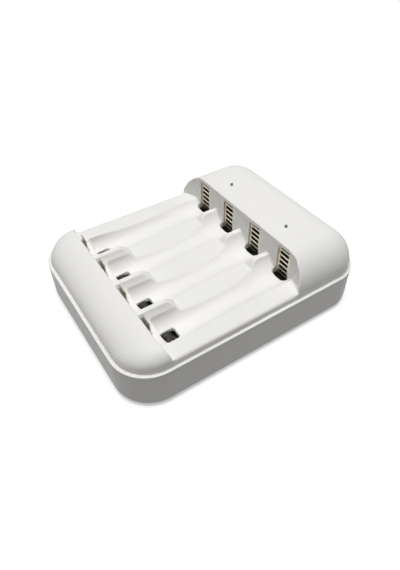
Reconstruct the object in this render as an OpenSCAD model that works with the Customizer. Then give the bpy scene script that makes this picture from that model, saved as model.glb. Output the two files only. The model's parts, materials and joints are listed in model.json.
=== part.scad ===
/* [Body] */
// Width of the base over its side walls
body_w = 73.2; // [72.6:0.2:84]
// Length of the base from nose to rear
body_l = 93.2; // [92:0.2:102]
// Height of the base from its underside to the lip
base_h = 14.2; // [14:0.1:18]
// Plan corner radius of the base
corner_r = 12.8; // [10:0.1:13.2]
// Width of the ledge left bare round the cover
ledge = 1.14; // [0.9:0.02:1.3]
// Side wall of the base
base_wall = 2; // [1.7:0.1:2.2]
// Floor of the base
base_floor = 1.8; // [1.4:0.1:2.2]
// Radius of the lower edge of the base
edge_r = 1.8; // [1:0.1:2]
// Height the feet hold the base off the table
foot_h = 0.6; // [0.4:0.1:1]

/* [Cover] */
// Wall of the cover
cover_wall = 1.6; // [1.4:0.1:1.8]
// Top of the head over the lip
head_h = 13.5; // [13:0.1:16]
// Length of the head
head_l = 27.1; // [26:0.1:29]
// Crest of the nose over the lip
crest_h = 7.1; // [6.6:0.1:7.6]
// Flat of the bay over the lip
flat_h = 3; // [2.8:0.1:3.2]
// Rib and fin tops over the lip
rib_h = 5.3; // [5:0.1:5.5]
// Rib width
rib_w = 1.7; // [1.4:0.1:1.9]
// Wall between bay and head
rear_wall = 1.25; // [1:0.05:1.5]

/* [Cells] */
// Channel spacing
pitch = 15.6; // [15.4:0.05:15.9]
// Trough radius for AA cells
aa_r = 7.45; // [7.3:0.05:7.5]
// Bottom of the AA trough over the lip
aa_low = 0.52; // [0.4:0.02:0.7]
// Trough radius for AAA cells
aaa_r = 5.6; // [5.4:0.05:5.7]
// Depth of the AAA pocket under the lip at its front end
aaa_low = 2.5; // [2.2:0.1:2.7]
// Lean of the AAA trough
aaa_tilt = 4.4; // [3.9:0.1:4.8]
// Bay length from crest to rear wall
bay_l = 51.65; // [51:0.05:52.4]

/* [Contacts] */
// Sheet thickness
sheet_t = 0.3; // [0.2:0.05:0.4]
// Width of the slots in the rear wall
slot_w = 5.9; // [5:0.1:6.4]
// Width of the windows in the AAA pockets
window_w = 4.5; // [4.2:0.1:5]
// Hinge play round a leaf root
root_play = 0.08; // [0.05:0.01:0.1]

/* [Hidden] */
$fn = 96;
z_base = foot_h;
z_lip = z_base + base_h;
z_in = z_base + base_floor;
cw = body_w/2 - ledge;
cl = body_l/2 - ledge;
cr = corner_r - ledge;
y_rear = cl - head_l;
y_crest = y_rear - bay_l;
nose_l = cl + y_crest;
z_flat = z_lip + flat_h;
z_aa = z_lip + aa_low + aa_r;
plate_t = 1.6;
z_plate = z_lip + aa_low - plate_t;
y_pocket = y_crest + 3.8;
rim_h = 2.5;
rim_t = 1.35;
rim_play = 0.15;
rim_w = body_w/2 - base_wall - rim_play;
rim_l = body_l/2 - base_wall - rim_play;
rim_r = corner_r - base_wall - rim_play;
flat_edge = 1.05;
nose_roll = 5.6;
roll_z = flat_h - 0.4;
bay_r_rear = 14;
bay_r_front = 11.2;
bay_over = 5.3;
bay_half = cw + bay_over;
scoop_y = y_crest + 21.3;
scoop_l = 23;
scoop_w = 1.5*pitch + 10;
scoop_d = 2.4;
scoop_r = (scoop_l*scoop_l + scoop_d*scoop_d)/(2*scoop_d);
scoop_x = scoop_w - scoop_l;
screw_x = body_w/2 - 9.1;
screw_y = body_l/2 - 9.6;
post_r = 3.4;
boss_r = 3;
z_post = z_lip - 5.8;
screw_hole_r = 1.5;
screw_r = 1.2;
pilot_r = 1.25;
head_r = 2.4;
sink_r = 2.8;
z_sink = z_base + 4.4;
head_t = 1.9;
screw_bite = 6;
recess_w = 2.6;
recess_t = 0.6;
foot_r = 4;
foot_sink = 0.8;
foot_x = body_w/2 - 16.6;
foot_y = body_l/2 - 6.6;
board_t = 1.6;
z_board = z_base + 5.8;
z_top = z_board + board_t;
board_w = 30.5;
board_y0 = y_crest + 6.5;
board_y1 = body_l/2 - base_wall - 0.8;
board_neck = screw_x - post_r - 0.7;
board_step = screw_y - post_r - 0.6;
stand_r = 2.5;
stand_x = 26.5;
stand_y0 = board_y0 + 8;
stand_y1 = board_step - 4;
pin_r = 0.9;
pin_play = 0.1;
root_r = 0.8;
z_root = z_lip - 5.5;
seat_w = 9.4;
y_aa_root = y_crest + 1.8;
y_aaa_root = y_crest + 4.6;
seat_y0 = y_crest + 0.2;
seat_y1 = y_crest + 6.1;
aa_leaf_w = 4.2;
aa_leaf_x = -3.9;
aa_leaf_top = z_lip + 4.4;
aa_bend_r = 1;
aa_bend = 45;
slit_play = 0.4;
slit_y0 = y_crest + 0.35;
slit_y1 = y_crest + 2.2;
aaa_leaf_w = window_w - 0.8;
aaa_arch_r = 2.2;
aaa_rise = 0.6;
aaa_arch_end = 50;
window_y0 = y_pocket + 0.5;
window_y1 = y_crest + 9.9;
window_r = 0.9;
rib_l = 9.9;
fin_l = 5.2;
rib_run = 6.1;
rib_foot = 0.3;
slot_z0 = z_lip - 0.4;
slot_z1 = z_lip + head_h - cover_wall;
notch_l = 1.5;
notch_w = slot_w + 1;
notch_r = 1.2;
notch_h = 1.6;
slot_skin = 0.5;
ladder_w = slot_w + 2.1;
ladder_play = 0.1;
ladder_y = y_rear + slot_skin + ladder_play;
ladder_top = slot_z1 - ladder_play;
ladder_bend = 2;
rung_step = 2;
rung_gap = 1.35;
rung_w = slot_w - 1.7;
foot_pad_l = 3;
led_x = 15.65;
led_y = y_rear + 7.15;
led_hole_r = 0.55;
pipe_r = 1.2;
pipe_play = 0.05;
sleeve_t = 0.9;
sleeve_l = 6;
z_roof = z_lip + head_h - cover_wall;
led_h = 1.8;
usb_w = 7.5;
usb_h = 2.7;
usb_l = 5.6;
usb_play = 0.4;
usb_t = 0.35;
usb_y1 = body_l/2 - 0.8;
bus_w = 3.2;
bus_t = 0.4;
bus_gap = 0.2;
chip_w = 10;
chip_l = 4;
chip_t = 1.5;
chip_gap = 0.1;
chip_y = y_crest + 30.3;
chip_pitch = chip_w/8;
lead_w = 0.4;
lead_l = 1.1;
lead_t = 0.5;
fet_w = 6.4;
fet_l = 3.6;
fet_t = 1.7;
fet_y = y_rear - 6.8;
fet_pitch = 2.3;
fet_lead_w = 0.7;
fet_lead_l = 1.6;
fet_tab_w = 3;
fet_tab_l = 1.3;
can_r = 3.15;
can_h = 7;
can_base_r = 3.4;
can_base_h = 0.6;
can_x = led_x - 2.5;
can_y = board_y1 - 7;
led_w = 3.2;
led_l = 2.6;
led_base_h = 1.2;
led_lens_r = 1;
tongue_t = 0.6;
pipe_sink = 0.1;
chan = [-1.5, -0.5, 0.5, 1.5];
far = 200;
skin = 0.01;

function nose_z(inset) = crest_h*sin(acos(1 - min(1, inset/nose_l)));
function dome_z(x, y) = head_h - cr
  + sqrt(max(1, cr*cr - pow(max(0, x - cw + cr), 2) - pow(max(0, y - cl + cr), 2)));

// Prism of a rectangle with rounded corners
module rounded_prism(w, l, r, h) {
  translate([-w, -l + r, 0]) cube([2*w, 2*l - 2*r, h]);
  translate([-w + r, -l, 0]) cube([2*w - 2*r, 2*l, h]);
  for (a = [0 : 3])
    translate([(a == 0 || a == 3 ? 1 : -1)*(w - r), (a < 2 ? 1 : -1)*(l - r), 0])
      rotate([0, 0, 90*a])
        rotate_extrude(angle = 90)
          square([r, h]);
}

// Section drawn in the side plane, swept along the width
module swept(w) {
  rotate([90, 0, 90])
    linear_extrude(w, center = true)
      children();
}

module quarter(r) {
  intersection() {
    circle(r);
    square(r);
  }
}

module at_channels() {
  for (k = chan)
    translate([k*pitch, 0, 0])
      children();
}

module at_screws() {
  for (sx = [-1, 1])
    for (sy = [-1, 1])
      translate([sx*screw_x, sy*screw_y, 0])
        children();
}

// Base edge section: upright wall over a rounded lower edge
module base_edge(h) {
  square([corner_r - edge_r, h]);
  translate([corner_r - edge_r, edge_r])
    square([edge_r, h - edge_r]);
  translate([corner_r - edge_r, edge_r])
    mirror([0, 1])
      quarter(edge_r);
}

module base_block() {
  bx = body_w/2 - corner_r;
  by = body_l/2 - corner_r;
  translate([-bx, -by, 0]) cube([2*bx, 2*by, base_h]);
  for (a = [0 : 3])
    translate([(a == 0 || a == 3 ? 1 : -1)*bx, (a < 2 ? 1 : -1)*by, 0])
      rotate([0, 0, 90*a])
        rotate_extrude(angle = 90)
          base_edge(base_h);
  for (s = [0, 180])
    rotate([0, 0, s]) {
      translate([bx, by, 0])
        rotate([90, 0, 0])
          linear_extrude(2*by)
            base_edge(base_h);
      translate([-bx, by, 0])
        rotate([90, 0, 90])
          linear_extrude(2*bx)
            base_edge(base_h);
    }
}

module base_shell() {
  color("whitesmoke")
    difference() {
      union() {
        difference() {
          translate([0, 0, z_base]) base_block();
          translate([0, 0, z_in])
            rounded_prism(body_w/2 - base_wall, body_l/2 - base_wall, corner_r - base_wall, base_h);
        }
        at_screws()
          translate([0, 0, z_in - 0.5])
            cylinder(r = post_r, h = z_post - z_in + 0.5);
        for (sx = [-1, 1])
          for (y = [stand_y0, stand_y1])
            translate([sx*stand_x, y, 0]) {
              translate([0, 0, z_in - 0.5]) cylinder(r = stand_r, h = z_board - z_in + 0.5);
              translate([0, 0, z_in]) cylinder(r = pin_r, h = z_top + 0.8 - z_in);
            }
        at_channels()
          translate([aa_leaf_x - aa_leaf_w/2 - 0.6, seat_y0, z_in - 0.5])
            cube([seat_w, seat_y1 - seat_y0, z_root - z_in + 0.5]);
      }
      at_screws() {
        translate([0, 0, z_base - 1]) cylinder(r = sink_r, h = z_sink - z_base + 1);
        translate([0, 0, z_base]) cylinder(r = screw_hole_r, h = base_h);
      }
      for (sx = [-1, 1])
        for (sy = [-1, 1])
          translate([sx*foot_x, sy*foot_y, z_base - 1])
            cylinder(r = foot_r + 0.1, h = foot_sink + 1);
      for (y = [y_aa_root, y_aaa_root])
        translate([-body_w/2 + base_wall + 1, y, z_root])
          rotate([0, 90, 0])
            cylinder(r = root_r + root_play, h = body_w - 2*base_wall - 2);
      translate([-usb_w/2 - usb_play, body_l/2 - base_wall - 1, z_top - usb_play])
        cube([usb_w + 2*usb_play, base_wall + 2, usb_h + 2*usb_play]);
    }
}

// Head: domed block, inset by t for its hollow
module head_block(t, y0) {
  r = cr - t;
  hx = cw - cr;
  hy = cl - cr;
  zc = z_lip + head_h - cr;
  translate([-hx, y0, zc]) cube([2*hx, hy - y0, r]);
  translate([0, hy, zc])
    swept(2*hx)
      quarter(r);
  for (s = [-1, 1])
    translate([s*hx, 0, 0])
      mirror([s < 0 ? 1 : 0, 0, 0]) {
        translate([0, hy, zc])
          rotate([90, 0, 0])
            linear_extrude(hy - y0)
              quarter(r);
        translate([0, hy, zc])
          rotate_extrude(angle = 90)
            quarter(r);
        translate([0, y0, z_lip - 0.5*sign(t)]) cube([r, hy - y0, zc - z_lip + 0.5*sign(t)]);
        translate([0, hy, z_lip - 0.5*sign(t)])
          rotate_extrude(angle = 90)
            square([r, zc - z_lip + 0.5*sign(t)]);
      }
  translate([-hx, y0, z_lip - 0.5*sign(t)]) cube([2*hx, hy + r - y0, zc - z_lip + 0.5*sign(t)]);
}

// Nose: hull of level slices, inset by t for its hollow
module nose_block(t, y1) {
  steps = 12;
  hull()
    for (i = [0 : steps]) {
      a = 90*i/steps;
      z = (crest_h - t)*sin(a);
      y = -cl + t + (nose_l - t - (t > 0 ? y_crest - y1 : 0))*(1 - cos(a));
      lift = min(1, max(0, (z - roll_z)/(crest_h - t - roll_z)));
      lean = nose_roll*(1 - sqrt(1 - lift*lift));
      hw = cw - t - lean;
      r = max(1.5, (cr - t)*cos(a) + 1.5*(1 - cos(a)));
      z0 = z_lip - 0.5*sign(t) + z + 0.5*sign(t)*sin(a);
      for (s = [-1, 1]) {
        translate([s*(hw - r), y + r, z0 - skin*sin(a)]) cylinder(r = r, h = skin, $fn = 64);
        translate([s*(hw - skin/2), y1, z0 - skin*sin(a) + skin/2]) cube(skin, center = true);
      }
    }
}

// Open space over the bay, rounded in plan at its four ends
module bay_space() {
  h = head_h + 5;
  translate([0, 0, z_flat]) {
    translate([-bay_half, y_crest + bay_r_front, 0])
      cube([2*bay_half, bay_l - bay_r_front - bay_r_rear, h]);
    translate([-bay_half + bay_r_rear, y_rear - bay_r_rear, 0])
      cube([2*bay_half - 2*bay_r_rear, bay_r_rear, h]);
    translate([-bay_half + bay_r_front, y_crest, 0])
      cube([2*bay_half - 2*bay_r_front, bay_r_front, h]);
    for (m = [0, 1])
      mirror([m, 0, 0]) {
        translate([bay_half - bay_r_rear, y_rear - bay_r_rear, 0])
          rotate_extrude(angle = 90)
            square([bay_r_rear, h]);
        translate([bay_half - bay_r_front, y_crest + bay_r_front, 0])
          rotate([0, 0, -90])
            rotate_extrude(angle = 90)
              square([bay_r_front, h]);
      }
  }
}

// Strip that leaves a rounded outer edge on the side flats
module flat_edge_cut() {
  for (m = [0, 1])
    mirror([m, 0, 0])
      translate([cw - flat_edge, y_rear - 3.6, z_flat - flat_edge])
        rotate([90, 0, 0])
          linear_extrude(bay_l - 5.8)
            difference() {
              square([flat_edge + 0.5, flat_edge + 0.5]);
              quarter(flat_edge);
            }
}

// Shallow finger scoop across the channels
module scoop() {
  zc = z_flat - scoop_d + scoop_r;
  intersection() {
    translate([-scoop_x, scoop_y, zc])
      rotate([0, 90, 0])
        cylinder(r = scoop_r, h = 2*scoop_x);
    translate([-scoop_x, scoop_y - scoop_l - 1, z_flat - scoop_d - 1])
      cube([2*scoop_x, 2*scoop_l + 2, scoop_d + 1.5]);
  }
  for (m = [0, 1])
    mirror([m, 0, 0])
      intersection() {
        translate([scoop_x, scoop_y, zc]) sphere(r = scoop_r);
        translate([scoop_x, scoop_y - scoop_l - 1, z_flat - scoop_d - 1])
          cube([scoop_l + 1, 2*scoop_l + 2, scoop_d + 1.5]);
      }
}

module bay_plate() {
  difference() {
    translate([-rim_w + 0.2, y_crest - 1, z_plate])
      cube([2*rim_w - 0.4, bay_l + 1 + rear_wall, z_flat - z_plate]);
    scoop();
    for (m = [0, 1])
      mirror([m, 0, 0])
        translate([1.5*pitch + aa_r - 0.6, y_crest + 3, z_plate - 1])
          cube([cw - cover_wall - 1.5*pitch - aa_r + 0.6, bay_l - 8, z_flat - z_plate - plate_t + 1]);
  }
}

// Tilted AAA cylinder that starts at the front wall of its pocket
module aaa_rod(r, back, l) {
  translate([0, y_pocket, z_lip - aaa_low + aaa_r])
    rotate([aaa_tilt - 90, 0, 0])
      translate([0, 0, -back])
        cylinder(r = r, h = l + back);
}

module aaa_cradle() {
  intersection() {
    aaa_rod(aaa_r + plate_t, plate_t, bay_l - 8);
    translate([-pitch/2, y_crest - 1, z_plate - far/2])
      cube([pitch, bay_l, far/2 + 1]);
  }
}

// Rib or fin between two channels, falling in a smooth curve to the scoop
module divider(y0, y1, run) {
  steps = 8;
  fall = rib_h - rib_foot;
  swept(pitch)
    polygon(concat([[y0, z_plate], [y0, z_lip + rib_h]],
      [for (i = [0 : steps]) [y1 + run*i/steps, z_lip + rib_foot + fall*(1 + cos(180*i/steps))/2]],
      [[y1 + run, z_plate]]));
}

module cover_shell() {
  difference() {
    union() {
      head_block(0, y_rear - 4.4);
      translate([-cw, y_crest + 1, z_lip]) cube([2*cw, bay_l - 4.4, flat_h]);
      nose_block(0, y_crest + 3);
    }
    bay_space();
    flat_edge_cut();
    head_block(cover_wall, y_rear + rear_wall);
    nose_block(cover_wall, y_crest - cover_wall);
    intersection() {
      translate([0, 0, -flat_h - 1]) bay_space();
      translate([-cw + cover_wall, y_crest, z_lip - 1])
        cube([2*cw - 2*cover_wall, bay_l, flat_h + 2]);
    }
  }
}

module top_cover() {
  front_boss = z_lip + nose_z(cl - screw_y - boss_r*0.75) - 1;
  rear_boss = z_lip + dome_z(screw_x + boss_r*0.75, screw_y + boss_r*0.75) - 0.8;
  color("whitesmoke")
    difference() {
      union() {
        cover_shell();
        difference() {
          translate([0, 0, z_lip - rim_h]) rounded_prism(rim_w, rim_l, rim_r, rim_h);
          translate([0, 0, z_lip - rim_h - 1])
            rounded_prism(rim_w - rim_t, rim_l - rim_t, rim_r - rim_t, rim_h + 2);
        }
        bay_plate();
        at_channels() aaa_cradle();
        for (k = [-1 : 1])
          translate([k*pitch, 0, 0]) {
            divider(y_crest - 0.5, y_crest + rib_l, rib_run);
            divider(y_rear + 0.5, y_rear - fin_l, -rib_run);
          }
        for (sx = [-1, 1]) {
          translate([sx*screw_x, -screw_y, z_post]) cylinder(r = boss_r, h = front_boss - z_post);
          translate([sx*screw_x, screw_y, z_post]) cylinder(r = boss_r, h = rear_boss - z_post);
          translate([sx*led_x, led_y, z_roof - sleeve_l])
            cylinder(r = pipe_r + sleeve_t, h = sleeve_l + 0.5);
        }
      }
      at_channels() {
        translate([0, y_crest, z_aa])
          rotate([-90, 0, 0])
            cylinder(r = aa_r, h = bay_l);
        aaa_rod(aaa_r, 0, bay_l - 4.2);
        translate([-slot_w/2, y_rear - 0.5, slot_z0])
          cube([slot_w, rear_wall + 1, slot_z1 - slot_z0]);
        translate([0, y_rear, z_plate - 1])
          rounded_prism(notch_w/2, notch_l, notch_r, z_lip + notch_h - z_plate + 1);
        translate([-ladder_w/2 - ladder_play, y_rear + slot_skin, z_plate - 1])
          cube([ladder_w + 2*ladder_play, rear_wall, ladder_top + ladder_play - z_plate + 1]);
        translate([0, (window_y0 + window_y1)/2, z_plate - 6])
          rounded_prism(window_w/2, (window_y1 - window_y0)/2, window_r, 8);
        translate([aa_leaf_x - aa_leaf_w/2 - slit_play, slit_y0, z_plate - 6])
          cube([aa_leaf_w + 2*slit_play, slit_y1 - slit_y0, 12]);
      }
      at_screws()
        translate([0, 0, z_post - 1])
          cylinder(r = pilot_r, h = screw_bite + 2);
      for (sx = [-1, 1])
        translate([sx*led_x, led_y, 0]) {
          translate([0, 0, z_roof - sleeve_l - 1]) cylinder(r = pipe_r + pipe_play, h = sleeve_l + 1);
          translate([0, 0, z_roof - 1]) cylinder(r = led_hole_r, h = cover_wall + 2);
        }
    }
}

module positive_contact(k) {
  zb = z_top + ladder_bend + sheet_t;
  color("silver")
    translate([chan[k]*pitch, 0, 0])
      difference() {
        swept(ladder_w) {
          translate([ladder_y, zb]) square([sheet_t, ladder_top - zb]);
          translate([ladder_y + sheet_t + ladder_bend, zb])
            intersection() {
              difference() {
                circle(ladder_bend + sheet_t);
                circle(ladder_bend);
              }
              translate([-far, -far]) square(far);
            }
          translate([ladder_y + sheet_t + ladder_bend, z_top]) square([foot_pad_l, sheet_t]);
        }
        for (i = [0 : 5])
          translate([-rung_w/2, ladder_y - 1, slot_z0 + 0.6 + i*rung_step])
            cube([rung_w, 2, rung_gap]);
      }
}

module root_curl() {
  difference() {
    circle(root_r);
    circle(root_r - sheet_t);
  }
}

module aa_contact(k) {
  color("silver")
    translate([chan[k]*pitch + aa_leaf_x, y_aa_root, 0])
      swept(aa_leaf_w) {
        translate([0, z_root]) root_curl();
        translate([-sheet_t/2, z_root + root_r - sheet_t/2])
          square([sheet_t, aa_leaf_top - z_root - root_r + sheet_t/2]);
        translate([-aa_bend_r, aa_leaf_top])
          intersection() {
            difference() {
              circle(aa_bend_r + sheet_t/2);
              circle(aa_bend_r - sheet_t/2);
            }
            polygon([[0, 0], [far, 0], [far, far*tan(aa_bend)]]);
          }
      }
}

module aaa_contact(k) {
  color("silver")
    translate([chan[k]*pitch, y_aaa_root, 0])
      swept(aaa_leaf_w) {
        translate([0, z_root]) root_curl();
        translate([-sheet_t/2, z_root + root_r - sheet_t/2])
          square([sheet_t, aaa_rise - root_r + sheet_t/2]);
        translate([aaa_arch_r, z_root + aaa_rise])
          intersection() {
            difference() {
              circle(aaa_arch_r + sheet_t/2);
              circle(aaa_arch_r - sheet_t/2);
            }
            polygon([[0, 0], [-far, 0], [-far, far], [far*cos(aaa_arch_end), far],
              [far*cos(aaa_arch_end), far*sin(aaa_arch_end)]]);
          }
      }
}

module contact_bus() {
  color("lightgray")
    translate([-stand_x + stand_r, board_y0 + bus_gap, z_top])
      cube([2*stand_x - 2*stand_r, bus_w, bus_t]);
}

module circuit_board() {
  color("seagreen")
    difference() {
      union() {
        translate([-board_w, board_y0, z_board]) cube([2*board_w, board_step - board_y0, board_t]);
        translate([-board_neck, board_step - 1, z_board])
          cube([2*board_neck, board_y1 - board_step + 1, board_t]);
      }
      for (sx = [-1, 1])
        for (y = [stand_y0, stand_y1])
          translate([sx*stand_x, y, z_board - 1])
            cylinder(r = pin_r + pin_play, h = board_t + 2);
    }
}

module usb_socket() {
  color("silver")
    difference() {
      translate([-usb_w/2, usb_y1 - usb_l, z_top]) cube([usb_w, usb_l, usb_h]);
      difference() {
        translate([-usb_w/2 + usb_t, usb_y1 - usb_l + 0.8, z_top + usb_t])
          cube([usb_w - 2*usb_t, usb_l, usb_h - 2*usb_t]);
        translate([-usb_w/4, usb_y1 - usb_l, z_top + usb_h/2])
          cube([usb_w/2, usb_l - 1, tongue_t]);
      }
    }
}

module control_chip() {
  color("dimgray")
    translate([0, chip_y, z_top]) {
      translate([-chip_w/2, -chip_l/2, chip_gap]) cube([chip_w, chip_l, chip_t]);
      for (i = [-3.5 : 3.5])
        for (m = [0, 1])
          mirror([0, m, 0])
            translate([i*chip_pitch - lead_w/2, chip_l/2 - chip_gap, 0])
              cube([lead_w, lead_l, lead_t]);
    }
}

module charge_transistors() {
  color("dimgray")
    at_channels()
      translate([0, fet_y, z_top]) {
        translate([-fet_w/2, -fet_l/2, 0]) cube([fet_w, fet_l, fet_t]);
        translate([-fet_tab_w/2, fet_l/2 - chip_gap, 0]) cube([fet_tab_w, fet_tab_l, lead_t]);
        for (i = [-1 : 1])
          translate([i*fet_pitch - fet_lead_w/2, -fet_l/2 - fet_lead_l + chip_gap, 0])
            cube([fet_lead_w, fet_lead_l, lead_t]);
      }
}

module capacitors() {
  color("slategray")
    for (s = [-1, 1])
      translate([s*can_x, can_y, z_top]) {
        cylinder(r = can_base_r, h = can_base_h);
        translate([0, 0, can_base_h]) cylinder(r = can_r, h = can_h);
      }
}

module status_led(s) {
  color("palegreen")
    translate([s*led_x, led_y, z_top]) {
      translate([-led_w/2, -led_l/2, 0]) cube([led_w, led_l, led_base_h]);
      translate([0, 0, led_base_h]) cylinder(r = led_lens_r, h = led_h - led_base_h);
    }
}

module light_pipe(s) {
  color("lightcyan")
    translate([s*led_x, led_y, 0]) {
      translate([0, 0, z_top + led_h]) cylinder(r = pipe_r, h = z_roof - z_top - led_h);
      translate([0, 0, z_roof]) cylinder(r = led_hole_r - pipe_play, h = cover_wall - pipe_sink);
    }
}

module case_screws() {
  color("gray")
    at_screws()
      difference() {
        union() {
          translate([0, 0, z_sink - head_t]) cylinder(r = head_r, h = head_t);
          translate([0, 0, z_sink]) cylinder(r = screw_r, h = z_post + screw_bite - z_sink);
        }
        for (a = [0, 90])
          translate([0, 0, z_sink - head_t])
            rotate([0, 0, a])
              cube([recess_w, recess_t, head_t], center = true);
      }
}

module rubber_feet() {
  color("darkgray")
    for (sx = [-1, 1])
      for (sy = [-1, 1])
        translate([sx*foot_x, sy*foot_y, 0])
          cylinder(r = foot_r, h = foot_h + foot_sink);
}

base_shell();
top_cover();
positive_contact(0);  // positive_contact_1
positive_contact(1);  // positive_contact_2
positive_contact(2);  // positive_contact_3
positive_contact(3);  // positive_contact_4
aa_contact(0);  // aa_contact_1
aa_contact(1);  // aa_contact_2
aa_contact(2);  // aa_contact_3
aa_contact(3);  // aa_contact_4
aaa_contact(0);  // aaa_contact_1
aaa_contact(1);  // aaa_contact_2
aaa_contact(2);  // aaa_contact_3
aaa_contact(3);  // aaa_contact_4
contact_bus();
circuit_board();
usb_socket();
control_chip();
charge_transistors();
capacitors();
status_led(-1);  // status_led_1
status_led(1);  // status_led_2
light_pipe(-1);  // light_pipe_1
light_pipe(1);  // light_pipe_2
case_screws();
rubber_feet();
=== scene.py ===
import bpy
import json
import math
from mathutils import Matrix, Vector


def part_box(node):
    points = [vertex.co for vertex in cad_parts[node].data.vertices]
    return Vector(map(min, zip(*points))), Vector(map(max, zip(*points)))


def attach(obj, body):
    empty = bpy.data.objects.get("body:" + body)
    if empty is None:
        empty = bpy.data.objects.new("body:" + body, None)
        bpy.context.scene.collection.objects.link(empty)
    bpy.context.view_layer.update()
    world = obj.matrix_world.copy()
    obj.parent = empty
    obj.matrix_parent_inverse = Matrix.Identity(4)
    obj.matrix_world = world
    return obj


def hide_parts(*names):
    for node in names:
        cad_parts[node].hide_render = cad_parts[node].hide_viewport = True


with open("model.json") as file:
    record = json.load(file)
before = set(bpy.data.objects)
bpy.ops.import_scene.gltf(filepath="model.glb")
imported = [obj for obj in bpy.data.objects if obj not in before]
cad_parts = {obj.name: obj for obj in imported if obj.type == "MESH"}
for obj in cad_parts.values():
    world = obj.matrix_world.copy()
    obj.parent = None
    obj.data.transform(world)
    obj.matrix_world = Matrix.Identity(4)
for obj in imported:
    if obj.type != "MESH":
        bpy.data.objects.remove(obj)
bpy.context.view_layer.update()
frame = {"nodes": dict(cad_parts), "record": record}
scene = bpy.context.scene

noiseDetail = {"cloud": 3, "fine": 2, "streak": 4}
tintSpan = (0.3, 0.7)  # stretch of the noise over which one tint turns into the other
edgeSamples = 6
rollMarks = {"depth": 0.00002, "strength": 0.3}  # faint lines left by rolling the sheet


def newMaterial(name):
    mat = bpy.data.materials.new(name)
    mat.use_nodes = True
    tree = mat.node_tree
    return mat, tree, tree.nodes["Principled BSDF"]


def addNode(tree, kind, **sockets):
    node = tree.nodes.new(kind)
    for key, value in sockets.items():
        node.inputs[key.replace("_", " ")].default_value = value
    return node


def objectNoise(tree, scale, detail, stretch=(1, 1, 1)):
    coord = tree.nodes.new("ShaderNodeTexCoord")
    mapping = addNode(tree, "ShaderNodeMapping", Scale=stretch)
    noise = addNode(tree, "ShaderNodeTexNoise", Scale=scale, Detail=detail)
    tree.links.new(coord.outputs["Object"], mapping.inputs["Vector"])
    tree.links.new(mapping.outputs["Vector"], noise.inputs["Vector"])
    return noise


def tint(tree, noise, low, high, target):
    ramp = tree.nodes.new("ShaderNodeValToRGB")
    for stop, position, colour in zip(ramp.color_ramp.elements, tintSpan, (low, high)):
        stop.position = position
        stop.color = (*colour, 1)
    tree.links.new(noise.outputs["Fac"], ramp.inputs["Fac"])
    tree.links.new(ramp.outputs["Color"], target)


def vary(tree, noise, low, high, target):
    span = addNode(tree, "ShaderNodeMapRange", To_Min=low, To_Max=high)
    tree.links.new(noise.outputs["Fac"], span.inputs["Value"])
    tree.links.new(span.outputs["Result"], target)


def grain(tree, noise, distance, strength, target, soften=0):
    bump = addNode(tree, "ShaderNodeBump", Strength=strength, Distance=distance)
    tree.links.new(noise.outputs["Fac"], bump.inputs["Height"])
    if soften:
        bevel = addNode(tree, "ShaderNodeBevel", Radius=soften)
        bevel.samples = edgeSamples
        tree.links.new(bevel.outputs["Normal"], bump.inputs["Normal"])
    tree.links.new(bump.outputs["Normal"], target)


def mouldedPlastic(name, look):
    mat, tree, shader = newMaterial(name)
    cloud = objectNoise(tree, look["cloud"], noiseDetail["cloud"])
    fine = objectNoise(tree, look["fine"], noiseDetail["fine"])
    tint(tree, cloud, look["low"], look["high"], shader.inputs["Base Color"])
    vary(tree, fine, look["rough"][0], look["rough"][1], shader.inputs["Roughness"])
    grain(tree, fine, look["depth"], look["strength"], shader.inputs["Normal"], look["soften"])
    shader.inputs["Specular IOR Level"].default_value = look["spec"]
    return mat


def sheetMetal(name, look):
    mat, tree, shader = newMaterial(name)
    streak = objectNoise(tree, look["scale"], noiseDetail["streak"], look["stretch"])
    tint(tree, streak, look["low"], look["high"], shader.inputs["Base Color"])
    vary(tree, streak, look["rough"][0], look["rough"][1], shader.inputs["Roughness"])
    grain(tree, streak, rollMarks["depth"], rollMarks["strength"], shader.inputs["Normal"])
    shader.inputs["Metallic"].default_value = 1
    return mat


coverLook = {"low": (0.862, 0.853, 0.828), "high": (0.882, 0.873, 0.849), "cloud": 60, "fine": 2600,
             "rough": (0.42, 0.54), "depth": 0.00003, "strength": 0.25, "spec": 0.22, "soften": 0.00025}
# a little darker and warmer than the cover's plastic: painted shade, since the base is the same white
# plastic with its walls in shade
baseLook = {"low": (0.85, 0.836, 0.81), "high": (0.87, 0.856, 0.83), "cloud": 60, "fine": 2600,
            "rough": (0.42, 0.54), "depth": 0.00003, "strength": 0.25, "spec": 0.15, "soften": 0.00025}
ladderLook = {"low": (0.62, 0.55, 0.44), "high": (0.8, 0.75, 0.66), "scale": 700,
              "stretch": (0.15, 1, 1), "rough": (0.22, 0.38)}
leafLook = {"low": (0.52, 0.48, 0.42), "high": (0.7, 0.66, 0.6), "scale": 700,
            "stretch": (1, 1, 0.15), "rough": (0.32, 0.48)}
# painted shade: the leaf nickel darkened far below its own colour, for the short leaves that stand in
# the windows
paintedShadeLook = {"low": (0.035, 0.031, 0.027), "high": (0.07, 0.063, 0.055), "scale": 700,
              "stretch": (1, 1, 0.15), "rough": (0.4, 0.55)}
tinLook = {"low": (0.6, 0.6, 0.6), "high": (0.74, 0.74, 0.73), "scale": 500,
           "stretch": (1, 0.2, 1), "rough": (0.25, 0.4)}
canLook = {"low": (0.6, 0.61, 0.63), "high": (0.74, 0.75, 0.77), "scale": 600,
           "stretch": (1, 1, 0.1), "rough": (0.28, 0.42)}
zincLook = {"low": (0.42, 0.42, 0.43), "high": (0.58, 0.58, 0.58), "scale": 900,
            "stretch": (1, 1, 1), "rough": (0.3, 0.45)}
maskLook = {"low": (0.012, 0.09, 0.035), "high": (0.02, 0.13, 0.05), "cloud": 400, "fine": 1500,
            "rough": (0.25, 0.4), "depth": 0.00002, "strength": 0.3, "spec": 0.5, "soften": 0}
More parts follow.
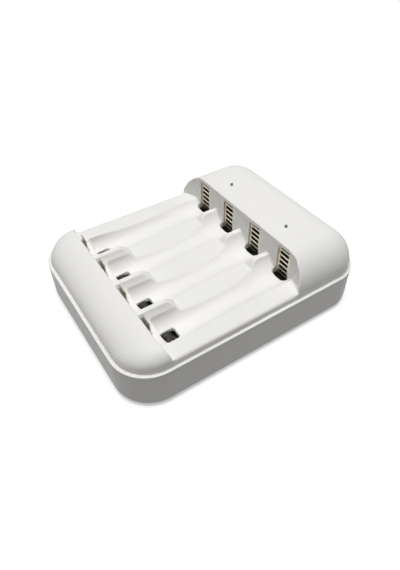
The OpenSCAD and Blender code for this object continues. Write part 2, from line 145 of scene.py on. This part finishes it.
resinLook = {"low": (0.012, 0.012, 0.013), "high": (0.022, 0.022, 0.023), "cloud": 900, "fine": 4000,
             "rough": (0.5, 0.65), "depth": 0.00002, "strength": 0.4, "spec": 0.4, "soften": 0}
lensLook = {"low": (0.1, 0.096, 0.09), "high": (0.14, 0.135, 0.128), "cloud": 900, "fine": 3000,
            "rough": (0.12, 0.2), "depth": 0.00001, "strength": 0.2, "spec": 0.5, "soften": 0}
ledLook = {"low": (0.5, 0.62, 0.5), "high": (0.6, 0.72, 0.6), "cloud": 900, "fine": 3000,
           "rough": (0.1, 0.2), "depth": 0.00001, "strength": 0.2, "spec": 0.5, "soften": 0}
rubberLook = {"low": (0.02, 0.02, 0.02), "high": (0.035, 0.035, 0.034), "cloud": 500, "fine": 3500,
              "rough": (0.7, 0.85), "depth": 0.00003, "strength": 0.5, "spec": 0.3, "soften": 0}

paints = {
    "top_cover": mouldedPlastic("coverPlastic", coverLook),
    "base_shell": mouldedPlastic("basePlastic", baseLook),
    "ladder_contacts": sheetMetal("ladderNickel", ladderLook),
    "leaf_contacts": sheetMetal("leafNickel", leafLook),
    "contact_bus": sheetMetal("busNickel", tinLook),
    "usb_socket": sheetMetal("tinnedSteel", tinLook),
    "capacitors": sheetMetal("canAluminium", canLook),
    "case_screws": sheetMetal("zincSteel", zincLook),
    "circuit_board": mouldedPlastic("solderMask", maskLook),
    "chips": mouldedPlastic("chipResin", resinLook),
    "light_pipes": mouldedPlastic("smokedLens", lensLook),
    "leds": mouldedPlastic("ledResin", ledLook),
    "rubber_feet": mouldedPlastic("blackRubber", rubberLook),
}
paintedShadeLeaf = sheetMetal("paintedShadeNickel", paintedShadeLook)  # painted shade: a far darker copy of the leaf nickel for the short leaves, so that the windows look dark
print("materials", len(paints) + 1)

weldGap = 0.000002
slotOf = {part["node"]: part["material_slot"] for part in frame["record"]["subparts"]}
bodyOf = {node: body for body, nodes in frame["record"]["behaviour"]["bodies"].items() for node in nodes}


def paintOf(node):
    # the short leaves take the painted-shade nickel, every other piece its slot's paint
    return paintedShadeLeaf if node.startswith("aaa_contact") else paints[slotOf[node]]


def pickOnly(obj):
    bpy.ops.object.select_all(action="DESELECT")
    obj.select_set(True)
    bpy.context.view_layer.objects.active = obj


def painted(obj, node):
    obj.data.materials.clear()
    obj.data.materials.append(paintOf(node))


def lookCopy(node):
    source = frame["nodes"][node]
    obj = source.copy()
    obj.data = source.data.copy()
    obj.name = node + "_look"
    obj.parent = None
    obj.matrix_world = Matrix.Identity(4)
    scene.collection.objects.link(obj)
    pickOnly(obj)
    bpy.ops.object.mode_set(mode="EDIT")
    bpy.ops.mesh.select_all(action="SELECT")
    bpy.ops.mesh.remove_doubles(threshold=weldGap)
    bpy.ops.mesh.normals_make_consistent(inside=False)
    bpy.ops.object.mode_set(mode="OBJECT")
    painted(obj, node)
    return obj


def applied(obj, kind, **settings):
    pickOnly(obj)
    mod = obj.modifiers.new(kind.lower(), kind)
    for key, value in settings.items():
        setattr(mod, key, value)
    bpy.ops.object.modifier_apply(modifier=mod.name)


def settle(obj, node):
    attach(obj, bodyOf[node])
    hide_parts(node)


def cornerGap(co, high, radius):
    reach = Vector((abs(co.x) - high.x + radius, abs(co.y) - high.y + radius))
    return radius - reach.length if min(reach) > 0 else radius


def onSkirt(co, look):
    low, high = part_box("top_cover")
    sideGap = min(co.x - low.x, high.x - co.x, co.y - low.y, high.y - co.y)
    return min(sideGap, cornerGap(co, high, look["corner"])) < look["inset"]


def moulded(node, look):
    obj = lookCopy(node)
    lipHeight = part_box("base_shell")[1].z
    for vert in obj.data.vertices:
        vert.select = abs(vert.co.z - lipHeight) < look["level"] and onSkirt(vert.co, look)
    bpy.ops.object.mode_set(mode="EDIT")
    bpy.ops.transform.translate(value=(0, 0, -look["tuck"]))  # outer lower edge goes into the base
    bpy.ops.object.mode_set(mode="OBJECT")
    applied(obj, "REMESH", mode="VOXEL", voxel_size=look["voxel"])
    applied(obj, "SMOOTH", factor=look["ease"], iterations=look["soften"])
    applied(obj, "DECIMATE", ratio=look["keep"])
    bpy.ops.object.shade_smooth()
    painted(obj, node)
    settle(obj, node)
    print(node, len(obj.data.polygons))


def crisp(node, look):
    obj = lookCopy(node)
    bpy.ops.object.shade_smooth_by_angle(angle=math.radians(look["angle"]))
    applied(obj, "WEIGHTED_NORMAL", keep_sharp=True, weight=look["weight"])
    settle(obj, node)


coverShape = {"voxel": 0.00026, "ease": 0.5, "soften": 1, "keep": 0.25,
              "corner": 0.01166, "level": 0.00001, "inset": 0.0006, "tuck": 0.0006}
moulded("top_cover", coverShape)
crispShape = {"angle": 30, "weight": 80}
for node in frame["nodes"]:
    if node != "top_cover":
        crisp(node, crispShape)
print("pieces", len(frame["nodes"]))


def sceneRay(tree):
    path = tree.nodes.new("ShaderNodeLightPath")
    seen = path.outputs["Is Camera Ray"]
    for kind in ("Is Glossy Ray", "Is Transmission Ray"):  # metal and lenses mirror the same paper
        either = tree.nodes.new("ShaderNodeMath")
        either.operation = "MAXIMUM"
        tree.links.new(seen, either.inputs[0])
        tree.links.new(path.outputs[kind], either.inputs[1])
        seen = either.outputs["Value"]
    return seen


def raySplit(tree, seen, light, shown, target):
    level = addNode(tree, "ShaderNodeMapRange", To_Min=light, To_Max=shown)
    tree.links.new(seen, level.inputs["Value"])
    tree.links.new(level.outputs["Result"], target)


def fadeOut(tree, near, far):
    coord = tree.nodes.new("ShaderNodeTexCoord")
    reach = tree.nodes.new("ShaderNodeVectorMath")
    reach.operation = "LENGTH"
    fade = addNode(tree, "ShaderNodeMapRange", From_Min=near, From_Max=far)
    tree.links.new(coord.outputs["Object"], reach.inputs[0])
    tree.links.new(reach.outputs["Value"], fade.inputs["Value"])
    return fade.outputs["Result"]


paperWhite = (1, 1, 1, 1)
floorLook = {"size": 6, "shown": 1.0, "bounce": 0.42, "glow": 0.4, "rough": 0.9,
             "near": 0.14, "far": 0.3}
bpy.ops.mesh.primitive_plane_add(size=floorLook["size"], location=(0, 0, 0))
floor = bpy.context.active_object
floor.name = "floor"
floorMat, floorTree, floorShader = newMaterial("floorPaper")
floorSeen = sceneRay(floorTree)
raySplit(floorTree, floorSeen, floorLook["bounce"], floorLook["shown"], floorShader.inputs["Base Color"])
raySplit(floorTree, floorSeen, 0, floorLook["glow"], floorShader.inputs["Emission Strength"])
floorShader.inputs["Emission Color"].default_value = paperWhite
floorShader.inputs["Roughness"].default_value = floorLook["rough"]
floorShader.inputs["Specular IOR Level"].default_value = 0
farPaper = floorTree.nodes.new("ShaderNodeEmission")  # white paper out of the lamp's reach
raySplit(floorTree, floorSeen, 0, floorLook["shown"], farPaper.inputs["Strength"])
paper = floorTree.nodes.new("ShaderNodeMixShader")
floorTree.links.new(fadeOut(floorTree, floorLook["near"], floorLook["far"]), paper.inputs["Fac"])
floorTree.links.new(floorShader.outputs["BSDF"], paper.inputs[1])
floorTree.links.new(farPaper.outputs["Emission"], paper.inputs[2])
floorTree.links.new(paper.outputs["Shader"], floorTree.nodes["Material Output"].inputs["Surface"])
floor.data.materials.append(floorMat)

skyLook = {"light": 0.1, "shown": 1.0}
world = bpy.data.worlds.new("studio")
scene.world = world
world.use_nodes = True
skyTree = world.node_tree
sky = skyTree.nodes["Background"]
raySplit(skyTree, sceneRay(skyTree), skyLook["light"], skyLook["shown"], sky.inputs["Strength"])
sky.inputs["Color"].default_value = paperWhite
print("floor and sky set")

lampAim = Vector((0, 0, 0.015))
lamps = {"topLamp": {"place": (0.02, -0.02, 0.62), "size": 0.3, "power": 3.25}}
for name, lamp in lamps.items():
    bpy.ops.object.light_add(type="AREA", location=lamp["place"])
    light = bpy.context.active_object
    light.name = name
    light.data.size = lamp["size"]
    light.data.energy = lamp["power"]
    aim = lampAim - Vector(lamp["place"])
    light.rotation_euler = aim.to_track_quat("-Z", "Y").to_euler()
print("lamps", len(lamps))

cameraLook = {"azimuth": 57.127, "elevation": 44.684, "roll": -0.668, "lens": 29.28,
              "place": (0.10544, -0.06766, 0.12481), "sensor": 36, "clip": 0.005}
az, el, roll = (math.radians(cameraLook[key]) for key in ("azimuth", "elevation", "roll"))
back = Vector((math.sin(az)*math.cos(el), -math.cos(az)*math.cos(el), math.sin(el)))
right = Vector((math.cos(az), math.sin(az), 0))
up = back.cross(right)
turnedRight = right*math.cos(roll) + up*math.sin(roll)
turnedUp = up*math.cos(roll) - right*math.sin(roll)
bpy.ops.object.camera_add()
camera = bpy.context.active_object
camera.name = "photoCamera"
turn = Matrix((turnedRight, turnedUp, back)).transposed().to_4x4()
camera.matrix_world = Matrix.Translation(cameraLook["place"]) @ turn
camera.data.lens = cameraLook["lens"]
camera.data.sensor_width = cameraLook["sensor"]
camera.data.clip_start = cameraLook["clip"]
scene.camera = camera
scene.view_settings.view_transform = "Standard"
print("camera set")
